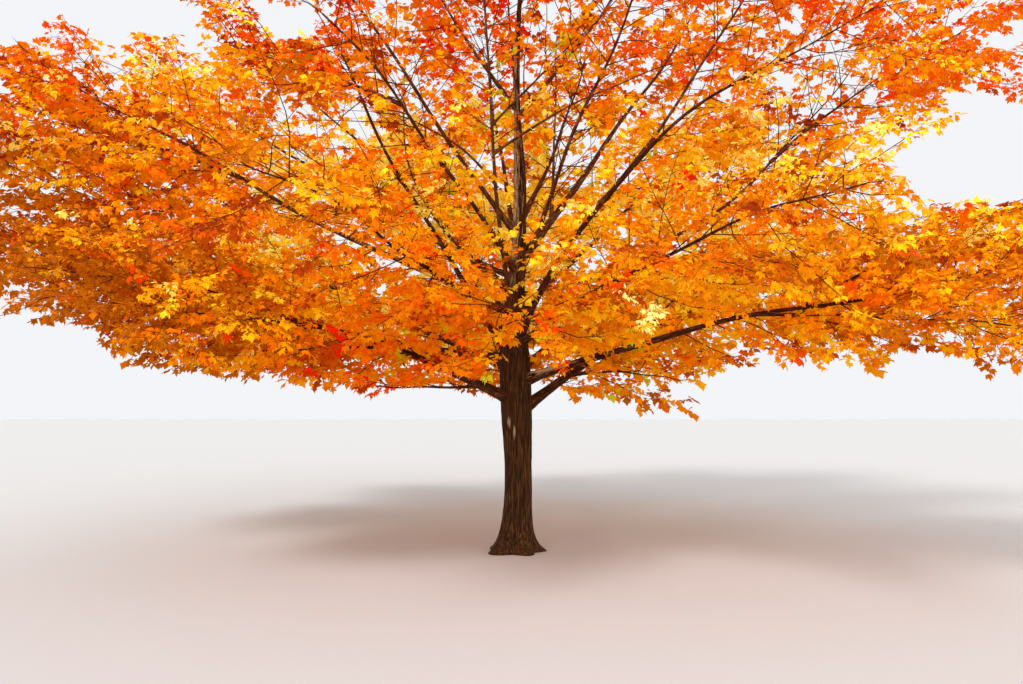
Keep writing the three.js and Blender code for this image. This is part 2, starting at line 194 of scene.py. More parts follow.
# Right half of a leaf's outline from beside its stalk to its tip: along, across, down
LOBED_HALF = [(0.03, 0.40, 0.10), (0.25, 0.25, 0.00), (0.60, 0.52, 0.13), (0.56, 0.18, -0.01)]
PLAIN_HALF = [(0.06, 0.40, 0.09), (0.62, 0.50, 0.13), (0.55, 0.18, -0.01)]
SIMPLE_HALF = [(0.42, 0.46, 0.10), (0.66, 0.25, 0.0)]  # drawn without a stalk of its own
LEAF_TIP = (1, 0, 0.14)

# Relief of the bark: how many ridges and lumps there are in a metre, and how far they stand out
WARP_PITCH = (7, 7, 2.6)
WARP_REACH = 0.012
TRUNK_RIDGES = (34, 4.2)  # across and along
TRUNK_RIDGE_DEPTH = 0.0085
TRUNK_RIDGE_GIRTH = 0.16  # the radius at which they have that depth
TRUNK_LUMPS = (3.2, 3.2, 1.6)
TRUNK_LUMP_SHARE = 0.07
LIMB_RIDGES = (48, 7)
LIMB_RIDGE_SHARE = 0.075
LIMB_LUMPS = (9, 9, 5)
LIMB_LUMP_SHARE = 0.10
BARK_SHIFT = 3.7  # between the bark of one limb and of the next
CELL_PRIMES = np.array([73856093, 19349663, 83492791])
SEED_PRIME = 2654435761
MIX_PRIME = 1274126177
HASH_MOST = 0xFFFFFFFF

# name, height on the trunk, bearing, slopes at trunk and tip, length, base diameter, bare share, tint
LIMBS = [
    ("low_right", 1.86, -22, 18, 2, 5.5, 0.112, 0.50, "orange"),
    ("low_right_back", 1.51, 15, 38, 7, 4.6, 0.116, 0.42, "gold"),
    ("low_back_right", 1.95, 60, 26, 6, 5.2, 0.100, 0.45, "orange"),
    ("low_back", 1.78, 103, 24, 8, 5.1, 0.104, 0.45, "gold"),
    ("low_back_left", 2.00, 145, 22, 6, 5.3, 0.100, 0.45, "orange"),
    ("low_left", 2.12, 187, 6, 19, 5.4, 0.106, 0.50, "orange"),
    ("low_left_front", 1.65, 211, 23, 6, 4.6, 0.112, 0.42, "orange"),
    ("low_front_left", 2.30, 248, 18, 4, 4.5, 0.084, 0.40, "orange"),
    ("low_front_right", 2.25, 301, 20, 2, 4.6, 0.086, 0.42, "orange"),
    ("mid_right", 2.23, -38, 64, 4, 5.2, 0.100, 0.50, "orange"),
    ("out_right", 2.82, 1, 12, 60, 5.1, 0.096, 0.50, "gold"),
    ("mid_back_right", 2.60, 42, 40, 30, 5.3, 0.092, 0.50, "gold"),
    ("mid_back", 2.45, 86, 38, 32, 5.1, 0.092, 0.48, "gold"),
    ("mid_back_left", 2.70, 126, 42, 30, 5.2, 0.092, 0.48, "gold"),
    ("mid_left", 2.66, 205, 18, 30, 5.5, 0.092, 0.52, "red"),
    ("mid_left_back", 2.90, 174, 34, 28, 5.1, 0.084, 0.50, "orange"),
    ("mid_front_left", 3.10, 236, 38, 24, 4.4, 0.070, 0.48, "red"),
    ("mid_front_right", 2.90, 291, 44, 30, 4.4, 0.072, 0.48, "orange"),
    ("up_left", 2.09, 160, 55, 66, 6.3, 0.090, 0.55, "red"),
    ("up_right", 3.21, 35, 50, 53, 5.7, 0.112, 0.52, "orange"),
    ("up_back", 3.30, 99, 48, 54, 5.3, 0.084, 0.50, "gold"),
    ("front_up", 2.42, 252, 62, 98, 5.3, 0.068, 0.55, "red"),
    ("leader_left", 3.06, 148, 18, 108, 3.9, 0.062, 0.55, "orange"),
    ("leader_right", 3.69, 59, 48, 68, 3.8, 0.070, 0.50, "orange"),
    ("up_front_left", 3.50, 218, 44, 50, 4.8, 0.068, 0.50, "red"),
    ("top_right", 4.90, 345, 46, 60, 3.4, 0.050, 0.42, "red"),
    ("top_back", 5.20, 96, 56, 66, 3.1, 0.048, 0.42, "orange"),
    ("top_left", 5.00, 197, 50, 62, 3.2, 0.048, 0.42, "red"),
]
# name, its parent limb, how far along that it forks, bearing, slopes, length, base diameter, bare share, tint
FORKS = [("mid_right_fork", "mid_right", 1.9, -20, 48, 64, 3.7, 0.056, 0.42, "orange")]
LEADER = ("crown_top", TRUNK_HEIGHT, 30, 90, 82, 1.75, 0.044, 0.0, "red")
# Finer forks, which only this script has: name, parent limb, reach, bearing, slopes at the fork and at the
# tip, length, base diameter, how low its foliage may hang
SIDE_FORKS = [
    ("front_up_left_fork", "front_up", 1.68, 184, 54, 6, 1.6, 0.030, 2.0),
    ("front_up_right_fork", "front_up", 2.00, -4, 36, 14, 2.3, 0.030, 2.0),
    ("front_up_high_fork", "front_up", 2.30, -6, 46, 42, 1.9, 0.026, 2.0),
    ("up_right_fork", "up_right", 0.75, 60, 84, 88, 2.4, 0.044, 2.0),
    ("hanging_fork", "low_right_back", 0.75, -36, 8, -14, 1.35, 0.038, 1.50),
    ("level_fork", "low_left_front", 0.45, 200, -2, 2, 1.4, 0.036, 1.80),
    ("out_right_fork", "out_right", 3.40, -16, 42, 22, 2.5, 0.038, 2.4),
    ("low_right_fork", "low_right", 2.70, -38, -4, -9, 2.5, 0.036, 1.94),
    ("low_right_high_fork", "low_right", 3.20, -10, 36, 12, 2.2, 0.036, 2.4),
    ("low_left_front_fork", "low_left_front", 2.30, 226, 4, 0, 1.8, 0.034, 2.12),
    ("low_front_left_fork", "low_front_left", 0.80, 282, 2, -6, 1.7, 0.026, 1.95),
    ("low_front_right_fork", "low_front_right", 0.70, 256, -2, -8, 1.7, 0.026, 1.95),
    ("mid_front_left_fork", "mid_front_left", 2.40, 200, 18, 6, 1.6, 0.034, 2.4),
    ("mid_left_fork", "mid_left", 2.40, 188, 4, 2, 2.7, 0.040, 2.4),
    ("mid_left_high_fork", "mid_left", 3.20, 194, 21, 4, 2.1, 0.034, 2.6),
    ("up_left_fork", "up_left", 2.60, 192, 44, 30, 2.7, 0.036, 3.0),
    ("low_back_left_fork", "low_back_left", 2.40, 160, 38, 22, 2.4, 0.036, 2.3),
    ("low_right_back_fork", "low_right_back", 1.90, 24, 46, 28, 2.4, 0.036, 2.3),
    ("low_left_inner_fork", "low_left_front", 1.60, 199, -2, -5, 2.1, 0.034, 1.95),
    ("low_left_fork", "low_left", 2.50, 176, 30, 12, 2.5, 0.040, 2.4),
]

# Tints in sRGB, from scarlet to pale yellow, then those for shaded, greenish and sunlit leaves
TINTS = {
    "scarlet": (0.88, 0.14, 0.01),
    "vermilion": (0.91, 0.26, 0.0),
    "flame": (0.92, 0.35, 0.0),
    "deep_orange": (0.92, 0.41, 0.0),
    "orange": (0.92, 0.47, 0.0),
    "light_orange": (0.93, 0.54, 0.0),
    "amber": (0.94, 0.62, 0.01),
    "gold": (0.96, 0.71, 0.04),
    "yellow": (0.98, 0.82, 0.14),
    "pale_yellow": (1.00, 0.92, 0.42),
    "copper": (0.68, 0.24, 0.0),
    "burnt_orange": (0.75, 0.33, 0.0),
    "ochre": (0.77, 0.42, 0.01),
    "yellow_green": (0.86, 0.82, 0.12),
    "sunlit_cream": (1.0, 0.93, 0.58),
}
TINT_NAMES = list(TINTS)
WARM_STEPS = 10  # the first tints, which a warmth from 0 to 1 picks from
SHADED_TINTS = ("copper", "burnt_orange", "ochre")
# The pale colour of the bark's pale scars and of its painted light
PALE_SCAR_AND_PAINTED_LIGHT = (0.74, 0.62, 0.45)
# Bark: furrows, ridges, crests, then the grain across and along, and how deep it looks
BARKS = {
    "furrowed_bark": ((0.12, 0.06, 0.01), (0.29, 0.165, 0.05), (0.48, 0.33, 0.17), 60, 5, 0.006),
    "limb_bark": ((0.17, 0.075, 0.02), (0.33, 0.17, 0.065), (0.54, 0.35, 0.21), 45, 9, 0.002),
    "high_limb_bark": ((0.23, 0.11, 0.045), (0.42, 0.25, 0.13), (0.64, 0.48, 0.33), 45, 9, 0.002),
}
# Where bark is painted pale, on the straightened stem: centre, half sizes, strength. On the trunk the first
# place is painted light on the upper stem's left side and the other two are pale scars low on its front; on
# the limbs it is painted light on the top of the low right limb near its root
TRUNK_SCARS_AND_PAINTED_LIGHT = [
    ((-0.11, -0.07, 4.6), (0.15, 0.18, 2.2), 1.0),
    ((-0.085, -0.126, 1.42), (0.022, 0.05, 0.085), 0.95),
    ((-0.030, -0.148, 1.32), (0.019, 0.05, 0.10), 0.9),
]
# Painted light: a pale top on the low right limb near its root
LIMB_PAINTED_LIGHT = [((0.045, -0.035, 0.46), (0.055, 0.06, 0.36), 1.0)]
HIGH_LIMBS = 2.4  # limbs that start higher than this have paler bark
# Stands in for the light that shines through thin leaves
GLOWS = dict.fromkeys(TINTS, 0.14)
GLOWS.update(scarlet=0.24, vermilion=0.23, flame=0.21, deep_orange=0.18, sunlit_cream=0.5)

# How far the tint of a spray and of a twig departs from its place's
SPRAY_SPREAD = 0.055
TWIG_SPREAD = 0.085
HIGH_SPREAD = 1.6  # how much more the tints differ high in the crown
HIGH_SPREAD_RAMP = (2.6, 1.4)
ODD_SHARE = 0.05
ODD_STEPS = [-0.35, -0.28, 0.2]
SHADED_FROM = 0.28
SHADED_STEPS = 8
SHADED_CLUMPING = 3
GREEN_REACH = 1.6
GREEN_SHARE = 0.06
SUNLIT_PLACE = (1.13, -2.5, 2.43)  # leaves that stand in the sun
SUNLIT_HALF = (0.27, 0.85, 0.21)
SUNLIT_SHARE = 0.6

# Where the photograph shows sky between the sprays: x, y, half width and half height in its pixels, then the
# share of the leaves that stays in front of the trunk and the share behind it
OPENINGS = [
    (570, 130, 250, 70, 0.60, 0.85), (560, 56, 230, 66, 0.44, 0.52), (605, 14, 205, 42, 0.28, 0.34),
    (350, 14, 38, 44, 0.26, 0.26), (508, 40, 60, 62, 0.20, 0.22), (522, 362, 26, 21, 0.08, 1),
    (742, 404, 48, 40, 0, 0), (803, 126, 34, 28, 0.22, 0.22), (926, 362, 40, 14, 0.1, 0.1),
    (522, 225, 40, 76, 0.50, 0.90), (-30, 0, 100, 50, 0, 0), (6, 350, 62, 38, 0, 0),
    (70, 358, 42, 34, 0, 0), (428, 410, 62, 25, 0, 0), (110, 2, 56, 30, 0, 0),
    (162, 12, 28, 22, 0, 0), (290, 14, 32, 28, 0.10, 0.10), (96, 72, 30, 24, 0.40, 0.40),
    (348, 128, 38, 30, 0.16, 0.16), (290, 130, 34, 26, 0.22, 0.22), (250, 134, 92, 58, 0.50, 1),
    (418, 84, 34, 32, 0.20, 0.22), (575, 154, 28, 42, 0.13, 0.13), (618, 86, 18, 18, 0.35, 0.35),
    (698, 76, 26, 30, 0.35, 0.35), (822, 85, 62, 54, 0.15, 0.20), (930, 10, 110, 36, 0.75, 0.75),
    (992, 160, 74, 40, 0, 0), (955, 168, 62, 34, 0, 1),
]
OPENING_RIM = (0.8, 0.4)  # the ramp out of an opening, in shares of its half size
OPENING_DEPTH = (-1.1, 1.2)  # the ramp along y from front to back
BARE_SHARE = 0.12  # no shoot or twig grows where less than this share of the leaves would stay
BARE_STEPS = 40  # places that are tried along a limb, the first of which always stay
BARE_FIRST = 10
TIP_SHARE = 0.20  # and no limb ends in its outer half where less than this would
FEWEST_LEAVES = 2  # a twig with less is left out
# Limbs that the photograph shows through the leaves: name, and from which to which reach
SHOWN_LIMBS = [
    ("low_right", 0, 2.1), ("low_right", 2.7, 3.7), ("low_right_back", 0, 0.9), ("hanging_fork", 0, 0.5),
    ("level_fork", 0, 1.2), ("low_left_front", 0, 0.5), ("low_left", 2.2, 3.0), ("mid_right", 0.2, 0.9),
    ("mid_right", 1.5, 3.6), ("mid_left", 0.2, 4.6), ("up_left", 1.0, 4.6), ("up_right", 0, 4.6),
    ("front_up", 0.6, 4.2), ("leader_left", 0, 3.0), ("leader_right", 0, 3.0), ("out_right", 2.6, 4.0),
    ("mid_right_fork", 0, 2.4), ("up_front_left", 0.2, 2.4), ("front_up_left_fork", 0, 1.6),
    ("front_up_right_fork", 0, 1.9), ("front_up_high_fork", 0, 1.6), ("up_right_fork", 0, 2.0),
]
SHOWN_TRUNK = (2.8, 5.1)
SHOWN_MARGIN = 2.5  # pixels beside it that are kept clear too
SHOWN_DEPTH = 0.04  # how far in front of it a leaf has to be
SHOWN_SHARE = 0.18  # of the leaves there that stay
SHOWN_BATCH = 4000


def draw(seed, step):
    """A repeatable number from 0 to 1, as in the CAD source."""
    wave = math.sin(seed * 127.1 + step * 311.7) * 43758.5453
    return wave - math.floor(wave)


def mix(a, b, t):
    return a + (b - a) * t


def norm(rows):
    return np.linalg.norm(rows, axis=-1)


def unit(rows):
    rows = np.asarray(rows, float)
    return rows / np.maximum(np.linalg.norm(rows, axis=-1, keepdims=True), 1e-9)


def smooth(x):
    x = np.clip(x, 0, 1)
    return x * x * (3 - 2 * x)


def ramp(x, start, span):
    """From 0 at the start to 1 a span away, which may be negative."""
    return smooth((x - start) / span)


def band(x, centre, half, most):
    """At its most where x is at the centre, and falling to both sides, by 1 for each half."""
    return smooth(most - np.abs(x - centre) / half)


def beside_and_over(ways, least):
    """The level direction beside each way, or +X if less than the least of it is level, and the third."""
    level = np.cross(ways, UP)
    level[norm(level) < least] = [1, 0, 0]
    level = unit(level)
    return level, np.cross(level, ways)


# The lines of the trunk and the limbs

def profile_radius(z):
    z = np.asarray(z, float)
    places, values = np.array(TRUNK_PROFILE).T
    i = np.clip(np.searchsorted(places, z, side="right") - 1, 0, len(places) - 2)
    t = np.clip((z - places[i]) / (places[i + 1] - places[i]), 0, 1)
    return mix(values[i], values[i + 1], smooth(t))


def trunk_centre(z):
    z = np.asarray(z, float)
    turn = 2 * math.pi * z / SWAY_LENGTH
    return np.stack([LEAN * z + SWAY * np.sin(turn), SWAY / 2 * (np.cos(turn) - 1), z], -1)


def trunk_radius(z, angle):
    foot = np.exp(-np.asarray(z, float) / FLARE_HEIGHT)
    lobes = 1 + ROOT_LOBE_DEPTH * foot * np.cos(ROOT_LOBES * angle + np.sin(angle))
    return (profile_radius(z) + FLARE_WIDTH * foot) * lobes


def chance_angle(middle, spread, rng):
    return math.radians(middle + rng.uniform(-spread, spread))


def way_of(bearing, slope):
    bearing, slope = math.radians(bearing), math.radians(slope)
    flat = math.cos(slope)
    return np.array([flat * math.cos(bearing), flat * math.sin(bearing), math.sin(slope)])


def new_limb(name, mass, shape, bare, tint, buried, start, seed):
    """A limb with its path. Its shape is bearing, slope at the root and at the tip, length and diameter."""
    bearing, slope, lift, length, girth = shape
    points, ways = [np.array(start, float)], []
    for i in range(PATH_STEPS):
        t = (i + 0.5) / PATH_STEPS
        wander = 2 * math.pi * WOBBLE_TURNS * t
        side = bearing + WOBBLE * math.sin(wander + WOBBLE_PHASE * draw(seed, 1)) * t
        rise = mix(slope, lift, t) + WOBBLE * math.sin(wander + WOBBLE_PHASE * draw(seed, 2)) * t
        ways.append(way_of(side, rise))
        points.append(points[-1] + ways[-1] * (length / PATH_STEPS))
    limb = SimpleNamespace(name=name, mass=mass, length=length, girth=girth, bare=bare, tint=tint)
    limb.points, limb.ways, limb.buried, limb.hang = np.array(points), np.array(ways), buried, NO_HANG
    reach = np.linspace(0, length, BARE_STEPS)
    bare_places = np.flatnonzero(open_share(point_at(limb, reach)) <= BARE_SHARE)
    limb.end = float(reach[max(bare_places[0] - 1, BARE_FIRST)]) if len(bare_places) else length
    return limb


def point_at(limb, reach):
    place = np.clip(np.asarray(reach, float) / limb.length * PATH_STEPS, 0, PATH_STEPS - 1e-6)
    i = np.floor(place).astype(int)
    part = (place - i)[..., None]
    return limb.points[i] * (1 - part) + limb.points[i + 1] * part


def way_at(limb, reach):
    i = np.clip((np.asarray(reach, float) / limb.length * PATH_STEPS).astype(int), 0, PATH_STEPS - 1)
    return limb.ways[i]


def radius_at(limb, reach):
    reach = np.asarray(reach, float)
    left = np.clip(1 - reach / limb.length, 0, 1) ** TAPER_POWER
    collar = 1 + COLLAR_SWELL * np.exp(-np.maximum(reach - limb.buried, 0) / COLLAR_LENGTH)
    return mix(TIP_RADIUS, limb.girth / 2, left) * collar


def fork_root(carrier, reach):
    return point_at(carrier, reach), float(radius_at(carrier, reach))


def make_limbs():
    """The limbs that the CAD part has too, and the side forks."""
    limbs = []
    for name, rise, *shape, bare, tint in LIMBS + [LEADER]:
        buried = LEADER_BURIED if name == LEADER[0] else float(trunk_radius(rise, 0))
        limbs.append(new_limb(name, name, shape, bare, tint, buried, trunk_centre(rise), len(limbs) + 1))
    named = {limb.name: limb for limb in limbs}
    for name, parent, reach, *shape, bare, tint in FORKS:
        start, buried = fork_root(named[parent], reach)
        limbs.append(new_limb(name, name, shape, bare, tint, buried, start, len(limbs) + 1))
        named[name] = limbs[-1]
    for limb in limbs:
        limb.heart = point_at(limb, mix(limb.length * limb.bare, limb.length, 0.5))
    side_forks = []
    for name, parent, reach, *shape, hang in SIDE_FORKS:
        start, buried = fork_root(named[parent], reach)
        seed = SIDE_FORK_SEED + len(side_forks)
        fork = new_limb(name, parent, shape, SIDE_FORK_BARE, named[parent].tint, buried, start, seed)
        fork.hang = hang
        side_forks.append(fork)
    return limbs, side_forks


# Where foliage may grow

def own_space(walls, points, hangs):
    """True for each point inside a mass's walls, above the skirt and inside the CAD box."""
    low, high = np.array(CAD_BOX)
    skirt = SKIRT_HEIGHT + SKIRT_RISE * np.hypot(points[..., 0], points[..., 1])
    fine = points[..., 2] > np.minimum(skirt, hangs)
    fine &= np.all((points > low - BOX_SPARE) & (points < high + BOX_SPARE), axis=-1)
    for middle, way in walls:
        fine &= (points - middle) @ way < CELL_OVERLAP
    return fine


def photo_pixels(points):
    """The photograph's pixels where points lie, and how far off they are."""
    pitch = math.radians(CAMERA_PITCH)
    offset = np.asarray(points, float) - CAMERA_PLACE
    depth = offset @ np.array([0, math.cos(pitch), math.sin(pitch)])
    rise = offset @ np.array([0, -math.sin(pitch), math.cos(pitch)])
    depth = np.maximum(depth, NEAREST_DEPTH)
    across = PHOTO_WIDTH / 2 + FOCAL_PIXELS * offset[..., 0] / depth
    return across, PHOTO_HEIGHT / 2 - FOCAL_PIXELS * rise / depth, depth


def shown_line(limbs):
    """Points on the trunk and the shown limbs: place in the photograph, distance and half width there."""
    places = [trunk_centre(np.linspace(*SHOWN_TRUNK, 90))]
    widths = [profile_radius(places[0][:, 2])]
    named = {limb.name: limb for limb in limbs}
    for name, first, last in SHOWN_LIMBS:
        reach = np.linspace(first, last, 80)
        places.append(point_at(named[name], reach))
        widths.append(radius_at(named[name], reach))
    across, down, depth = photo_pixels(np.concatenate(places))
    return across, down, depth, np.concatenate(widths) * FOCAL_PIXELS / depth


def open_share(points, line=None):
    """The share of the leaves that stays at these points."""
    across, down, depth = photo_pixels(points)
    share = np.ones(len(points))
    behind = ramp(points[:, 1], *OPENING_DEPTH)
    for x, y, wide, high, front_share, back_share in OPENINGS:
        near = 1 - ramp(np.hypot((across - x) / wide, (down - y) / high), *OPENING_RIM)
        share = np.minimum(share, mix(1, mix(front_share, back_share, behind), near))
    if line is None:
        return share
    line_across, line_down, line_depth, line_width = line
    for first in range(0, len(points), SHOWN_BATCH):
        part = slice(first, first + SHOWN_BATCH)
        far = np.hypot(across[part, None] - line_across, down[part, None] - line_down)
        covers = (far < line_width + SHOWN_MARGIN) & (depth[part, None] < line_depth - SHOWN_DEPTH)
        share[part] *= np.where(covers.any(1), SHOWN_SHARE, 1)
    return share


def leafy_end(limb):
    """How far a limb reaches, without a tip that would stand bare in an opening."""
    reach = np.linspace(0.5, 1, 80) * limb.end
    open_air = open_share(point_at(limb, reach)) < TIP_SHARE
    return limb.end if open_air.all() else reach[~open_air].max()


# Growth

def grow_line(start, way, span, target, rng):
    """A shoot's points: its way turns towards a rise, and wanders."""
    points = [start]
    way = way.copy()
    for _ in range(SHOOT_STEPS):
        way[2] += (target - way[2]) * SHOOT_BEND
        way = unit(way + rng.normal(0, SHOOT_WANDER, 3))
        points.append(points[-1] + way * span / SHOOT_STEPS)
    return np.array(points)


def trimmed(points, limb, walls, fewest):
    """The points, at least the fewest, up to the first where no foliage may grow."""
    fine = own_space(walls, points, limb.hang) & (open_share(points) > BARE_SHARE)
    bad = np.flatnonzero(~fine[fewest:])
    return points[:fewest + bad[0]] if len(bad) else points


def shoot_way(way, turn, rng):
    """The way in which a shoot leaves a limb that goes this way."""
    level, over = beside_and_over(way, 0.1411)
    beside = unit(level * math.cos(turn) + over * math.sin(turn) * SHOOT_FLATNESS)
    fork = chance_angle(*SHOOT_FORK, rng)
    return unit(way * math.cos(fork) + beside * math.sin(fork))


def limb_shoots(limb, walls, rng):
    """Shoots: points, radius at the root, share of the limb's length, and how low its foliage hangs."""
    shoots = []
    roll = rng.uniform(0, 180)
    reach = max(SHOOT_FIRST * limb.length, limb.buried + SHOOT_CLEAR)
    if limb.bare == 0:
        reach = LEADER_FIRST
    while reach < limb.end * SHOOT_LAST:
        share = reach / limb.length
        roll += SHOOT_TURN
        for side in (0, 180):
            way = way_at(limb, reach)
            out = shoot_way(way, math.radians(roll + side), rng)
            long = SHOOT_LENGTH * (1 - SHOOT_TAPER * share) * rng.uniform(0.72, 1.12)
            long *= mix(INNER_LENGTH, 1, min(share / INNER_PART, 1))
            target = mix(out[2], SHOOT_RISE + SHOOT_LIMB_RISE * max(way[2], 0), SHOOT_TENDING)
            start = point_at(limb, reach + rng.uniform(-SHOOT_SHIFT, SHOOT_SHIFT))
            points = trimmed(grow_line(start, out, long, target, rng), limb, walls, 2)
            if len(points) >= SHOOT_FEWEST:
                shoots.append((points, SHOOT_RADIUS * mix(1.0, SHOOT_THINNING, share), share, limb.hang))
        reach += SHOOT_SPACING * rng.uniform(0.85, 1.15)
    tip = point_at(limb, limb.end)
    way = way_at(limb, limb.end)
    points = grow_line(tip, way, TIP_SHOOT_LENGTH, way[2] * TIP_SHOOT_RISE, rng)
    shoots.append((trimmed(points, limb, walls, 3), TIP_RADIUS, 1.0, limb.hang))
    return shoots


def shoot_twigs(points, share, rng):
    """Twigs in pairs along a shoot, and one at its end: root, way and length of each."""
    twigs = []
    steps = norm(np.diff(points, axis=0))
    run = np.concatenate([[0], np.cumsum(steps)])
    long = run[-1]
    place = TWIG_FIRST + rng.uniform(0, TWIG_FIRST_SPREAD) if share < 1 else TWIG_FIRST_AT_TIP
    while place < long - TWIG_LAST:
        i = min(np.searchsorted(run, place, side="right") - 1, len(steps) - 1)
        along = unit(points[i + 1] - points[i])
        root = points[i] + along * (place - run[i])
        level, over = beside_and_over(along, 0.199)
        for hand in (1, -1):
            roll = math.radians(rng.normal(0, TWIG_ROLL))
            beside = hand * (level * math.cos(roll) + over * math.sin(roll))
            fork = chance_angle(*TWIG_FORK, rng)
            way = along * math.cos(fork) + beside * math.sin(fork)
            span = TWIG_LENGTH * (1 - TWIG_TAPER * place / long) * rng.uniform(0.6, 1.25)
            twigs.append((root, way, span))
        place += TWIG_SPACING * rng.uniform(0.8, 1.2)
    span = END_TWIG_SHARE * TWIG_LENGTH * rng.uniform(0.7, 1.2)
    twigs.append((points[-1], unit(points[-1] - points[-2]), span))
    return twigs


def grow_twigs(shoots, walls, rng):
    """Root, middle, end and shoot of each twig, as arrays."""
    twigs, owners = [], []
    for number, (points, _, share, _) in enumerate(shoots):
        grown = shoot_twigs(points, share, rng)
        twigs += grown
        owners += [number] * len(grown)
    roots, ways, spans = (np.array(rows) for rows in zip(*twigs))
    ways, owners = unit(ways), np.array(owners)
    middles = roots + ways * spans[:, None] * 0.5
    late = unit(ways + rng.normal(0, TWIG_WANDER, ways.shape) + [0, 0, -TWIG_DROOP])
    ends = middles + late * spans[:, None] * 0.5
    middles = np.where(roots[:, 1:2] > STRAIGHT_FROM, (roots + ends) / 2, middles)
    hangs = np.array([shoot[3] for shoot in shoots])[owners]
    fine = own_space(walls, ends, hangs) & own_space(walls, middles, hangs)
    fine &= open_share(ends) > BARE_SHARE
    return roots[fine], middles[fine], ends[fine], owners[fine]


def twig_point(twigs, which, share):
    roots, middles, ends, _ = twigs
    share = share[:, None]
    early = roots[which] + (middles[which] - roots[which]) * 2 * share
    late = middles[which] + (ends[which] - middles[which]) * (2 * share - 1)
    return np.where(share < 0.5, early, late)


def leaf_places(spans, gaps):
    """For each leaf its twig, its share of the twig's length, and its side: 1 or -1, or 0 at the end."""
    which, shares, hands = [], [], []
    for i, (span, gap) in enumerate(zip(spans, gaps)):
        pairs = max(int(round(span * LEAF_PART / gap)), 1)
        for k in range(pairs):
            share = LEAF_LAST - k * gap / span
            which += [i, i]
            shares += [share, share]
            hands += [1, -1]
        which.append(i)
        shares.append(1.0)
        hands.append(0)
    return np.array(which), np.clip(np.array(shares), 0.05, 1), np.array(hands, float)


def grow_leaves(twigs, rng):
    """The leaves of all twigs, as arrays with one row for each leaf."""
    roots, middles, ends, _ = twigs
    spans = norm(middles - roots) + norm(ends - middles)
    gaps = LEAF_SPACING * mix(NEAR_SPACING, 1, ramp(roots[:, 1], *NEAR_RAMP))
    gaps = gaps * mix(1, FAR_SPACING, ramp(roots[:, 1], *FAR_RAMP))
    which, shares, hands = leaf_places(spans, gaps)
    count = len(which)
    places = twig_point(twigs, which, shares)
    along = unit(ends - middles)[which]
    level, over = beside_and_over(along, 0.08)
    roll = rng.normal(0, LEAF_ROLL, count)[:, None]
    beside = hands[:, None] * (level * np.cos(roll) + over * np.sin(roll))
    forward = along * mix(*LEAF_FORWARD, np.abs(hands))[:, None]
    stalk = unit(forward + beside + rng.normal(0, STALK_WANDER, (count, 3)))
    stalk = unit(stalk + [0, 0, STALK_RISE])
    near = mix(NEAR_SCALE, 1, ramp(places[:, 1], *NEAR_RAMP))
    near *= mix(1, HIGH_SCALE, ramp(places[:, 2], *HIGH_RAMP) * ramp(places[:, 1], *HIGH_FRONT_RAMP))
    size = near * LEAF_LENGTH * np.clip(rng.normal(1, LEAF_LENGTH_SPREAD, count), 0.6, 1.4)
    size = size * mix(*LEAF_GROWTH, shares)
    stalk_length = PETIOLE_LENGTH * rng.uniform(0.7, 1.4, count)
    sag = np.clip(rng.normal(*LEAF_SAG, count), 0, 1.6)[:, None]
    axis = unit(stalk - UP * sag + rng.normal(0, LEAF_WANDER, (count, 3)))
    face = UP + stalk * FACE_FORWARD + rng.normal(0, FACE_WANDER, (count, 3))
    face = unit(face - axis * np.sum(face * axis, axis=1, keepdims=True))
    bases = places + stalk * stalk_length[:, None]
    return dict(root=places, base=bases, axis=axis, face=face, size=size, twig=which)


def kept_leaves(leaves, line, twig_count, rng):
    """The leaves that stay, and for each twig whether it keeps enough of them."""
    luck = rng.random(twig_count)
    keep = luck[leaves["twig"]] < open_share(leaves["base"], line)
    leafy = np.bincount(leaves["twig"][keep], minlength=twig_count) >= FEWEST_LEAVES
    keep &= leafy[leaves["twig"]]
    return {key: value[keep] for key, value in leaves.items()}, leafy


# Meshes

def repeated(corners, faces):
    """One shape's triangles for many copies of it. corners is (copies, corners of each, 3)."""
    starts = np.arange(len(corners)) * corners.shape[1]
    return corners.reshape(-1, 3), (np.array(faces)[None] + starts[:, None, None]).reshape(-1, 3)


def joined(parts):
    """Several (corners, triangles) as one."""
    corners, faces, start = [], [], 0
    for spots, triangles in parts:
        corners.append(spots)
        faces.append(triangles + start)
        start += len(spots)
    return np.concatenate(corners), np.concatenate(faces)


def leaf_arrays(leaves, half):
    """Corners, triangles, and the leaf of each triangle: a fan over each blade, and one for its stalk."""
    stalked = half is not SIMPLE_HALF
    outline = np.array([(0, 0, 0)] + half + [LEAF_TIP] + [(a, -b, c) for a, b, c in half[::-1]], float)
    if not stalked:
        leaves = dict(leaves, base=leaves["root"], size=leaves["size"] * SIMPLE_SCALE)
    across = np.cross(leaves["face"], leaves["axis"])
    size = leaves["size"][:, None, None]
    corners = (
        leaves["base"][:, None]
        + size * outline[None, :, 0, None] * leaves["axis"][:, None]
        + size * outline[None, :, 1, None] * across[:, None]
        - size * outline[None, :, 2, None] * leaves["face"][:, None]
    )
    rim = len(outline)
    faces = [(0, i, i + 1) for i in range(1, rim - 1)]
    if stalked:
        beside = across * PETIOLE_WIDTH / 2
        stalk = np.stack([leaves["root"] - beside, leaves["root"] + beside], 1)
        corners = np.concatenate([corners, stalk], 1)
        faces.append((0, rim, rim + 1))
    owner = np.repeat(np.arange(len(corners)), len(faces))
    return (*repeated(corners, faces), owner)


